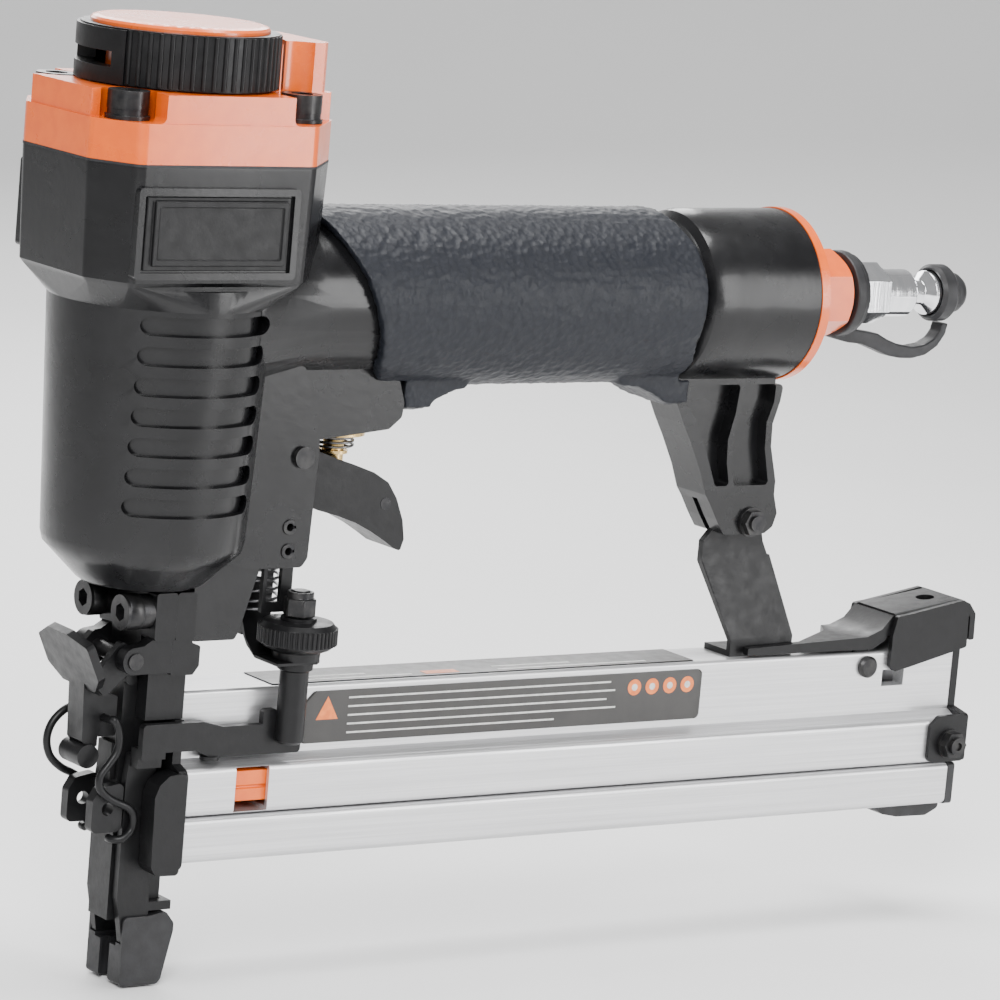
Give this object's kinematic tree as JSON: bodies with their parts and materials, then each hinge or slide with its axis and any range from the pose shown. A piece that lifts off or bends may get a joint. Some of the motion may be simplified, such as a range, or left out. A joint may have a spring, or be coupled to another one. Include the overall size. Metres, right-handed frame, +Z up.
{
  "type": "pneumatic nail gun",
  "caption": "Handheld pneumatic narrow-crown nailer with swivelling exhaust cap, rubber grip, trigger, sprung work contact, depth wheel and sliding aluminium magazine.",
  "frame": {"origin": "on the driver axis, in the plane where the work contact meets the work", "axes": "+Z up the driver axis to the exhaust cap, +X back along handle and magazine to the air plug, -Y the side with the depth wheel"},
  "size_m": [0.288, 0.0568, 0.2326],
  "materials": {
    "orange_paint": "glossy powder coat",
    "orange_plastic": "semi-gloss moulding",
    "black_casting": "gloss black paint",
    "black_steel": "satin black",
    "dark_fastener": "black oxide",
    "rubber": "pebbled",
    "seal_rubber": "smooth",
    "chrome": "polished",
    "brushed_aluminium": "brushed",
    "inner_aluminium": "machined",
    "spring_steel": "spring temper",
    "brass": "turned",
    "label": "printed film without text"
  },
  "bodies": {
    "main": {"housing": "black_casting", "cylinder_cap": "orange_paint", "cap_gasket": "seal_rubber", "cap_screws": "dark_fastener", "cap_washers": "dark_fastener", "deflector_screw": "dark_fastener", "cylinder_sleeve": "inner_aluminium", "sleeve_o_rings": "seal_rubber", "bumper": "seal_rubber", "head_valve_spring": "spring_steel", "badges": "black_steel", "handle_grip": "rubber", "end_cap": "orange_paint", "end_cap_seal": "seal_rubber", "air_plug": "chrome", "cap_strap": "seal_rubber", "trigger_pivot_pin": "dark_fastener", "link_roll_pins": "dark_fastener", "trigger_valve_body": "brass", "valve_spring": "spring_steel", "nose_front": "black_steel", "nose_body": "black_steel", "nose_screws": "dark_fastener", "latch_pin": "dark_fastener", "safety_spring": "spring_steel", "shoe_plate": "black_steel", "magazine_body": "brushed_aluminium", "rear_plate": "black_steel", "rear_bolts": "dark_fastener", "latch_pivot_pin": "dark_fastener", "latch_spring": "spring_steel", "support_strap": "black_steel", "strap_bolt": "dark_fastener", "magazine_label": "label"},
    "knob": {"deflector_knob": "black_steel", "deflector_disc": "orange_paint"},
    "exhaust_valve": {"head_valve": "inner_aluminium"},
    "ram": {"piston": "inner_aluminium", "piston_ring": "seal_rubber", "driver_blade": "spring_steel"},
    "trigger_unit": {"trigger": "black_steel", "idler_pin": "dark_fastener"},
    "idler": {"idler_lever": "spring_steel"},
    "stem": {"valve_stem": "brass"},
    "safety": {"contact_arm": "black_steel", "contact_foot": "seal_rubber", "depth_stem": "black_steel", "stem_lock_nut": "dark_fastener", "safety_link": "black_steel"},
    "wheel": {"depth_wheel": "black_steel"},
    "door": {"nose_door": "black_steel"},
    "lever": {"latch_lever": "black_steel"},
    "bail": {"latch_bail": "black_steel"},
    "tail_latch": {"rear_latch": "black_steel"},
    "rail": {"magazine_rail": "brushed_aluminium", "staple_guide": "spring_steel", "magazine_foot": "seal_rubber"},
    "follower": {"pusher": "orange_plastic", "pusher_spring": "spring_steel"},
    "plug_cap": {"dust_cap": "seal_rubber"}
  },
  "joints": [
    {"name": "deflector_turn", "type": "hinge", "parent": "main", "child": "knob", "pos_m": [0, 0, 0.225], "axis": [0, 0, 1], "continuous": true},
    {"name": "head_valve_lift", "type": "slide", "parent": "main", "child": "exhaust_valve", "axis": [0, 0, 1], "range_m": [0, 0.004], "stiffness_N_per_m": 800, "springref_m": -0.01, "deforming": ["head_valve_spring"]},
    {"name": "piston_stroke", "type": "slide", "parent": "main", "child": "ram", "axis": [0, 0, -1], "range_m": [0, 0.066]},
    {"name": "trigger_pull", "type": "hinge", "parent": "main", "child": "trigger_unit", "pos_m": [0.0353, 0, 0.1298], "axis": [0, -1, 0], "range_deg": [0, 9], "stiffness_Nm_per_rad": 0.3, "springref_deg": -8.59},
    {"name": "idler_swing", "type": "hinge", "parent": "trigger_unit", "child": "idler", "pos_m": [0.0648, 0, 0.1164], "axis": [0, 1, 0], "range_deg": [0, 9.1]},
    {"name": "stem_slide", "type": "slide", "parent": "main", "child": "stem", "axis": [0, 0, 1], "range_m": [0, 0.0024], "deforming": ["valve_spring"]},
    {"name": "safety_slide", "type": "slide", "parent": "main", "child": "safety", "axis": [0, 0, 1], "range_m": [0, 0.005], "stiffness_N_per_m": 500, "springref_m": -0.008, "deforming": ["safety_spring"]},
    {"name": "wheel_turn", "type": "hinge", "parent": "safety", "child": "wheel", "pos_m": [0.0377, -0.0132, 0.086], "axis": [0, 0, 1], "continuous": true},
    {"name": "lever_open", "type": "hinge", "parent": "main", "child": "lever", "pos_m": [-0.0065, 0, 0.0813], "axis": [0, 1, 0], "range_deg": [0, 40]},
    {"name": "door_open", "type": "hinge", "parent": "main", "child": "door", "pos_m": [-0.0032, 0, 0.0756], "axis": [0, 1, 0], "range_deg": [0, 32.5]},
    {"name": "bail_swing", "type": "hinge", "parent": "lever", "child": "bail", "pos_m": [-0.009, 0, 0.066], "axis": [0, 1, 0], "range_deg": [0, 12]},
    {"name": "rear_latch_press", "type": "hinge", "parent": "main", "child": "tail_latch", "pos_m": [0.2206, 0, 0.0686], "axis": [0, 1, 0], "range_deg": [0, 8], "stiffness_Nm_per_rad": 0.8, "springref_deg": -8.59, "deforming": ["latch_spring"]},
    {"name": "magazine_slide", "type": "slide", "parent": "main", "child": "rail", "axis": [1, 0, 0], "range_m": [0, 0.15]},
    {"name": "pusher_slide", "type": "slide", "parent": "main", "child": "follower", "axis": [1, 0, 0], "range_m": [0, 0.19], "stiffness_N_per_m": 15, "springref_m": -0.25},
    {"name": "dust_cap_pull", "type": "slide", "parent": "main", "child": "plug_cap", "axis": [1, 0, 0], "range_m": [0, 0.03]}
  ],
  "couplings": [
    {"joint": "idler_swing", "follows": "safety_slide", "rad_per_m": 31.3},
    {"joint": "stem_slide", "follows": "trigger_pull", "m_per_rad": 0.015},
    {"joint": "door_open", "follows": "lever_open", "ratio": 0.8}
  ]
}
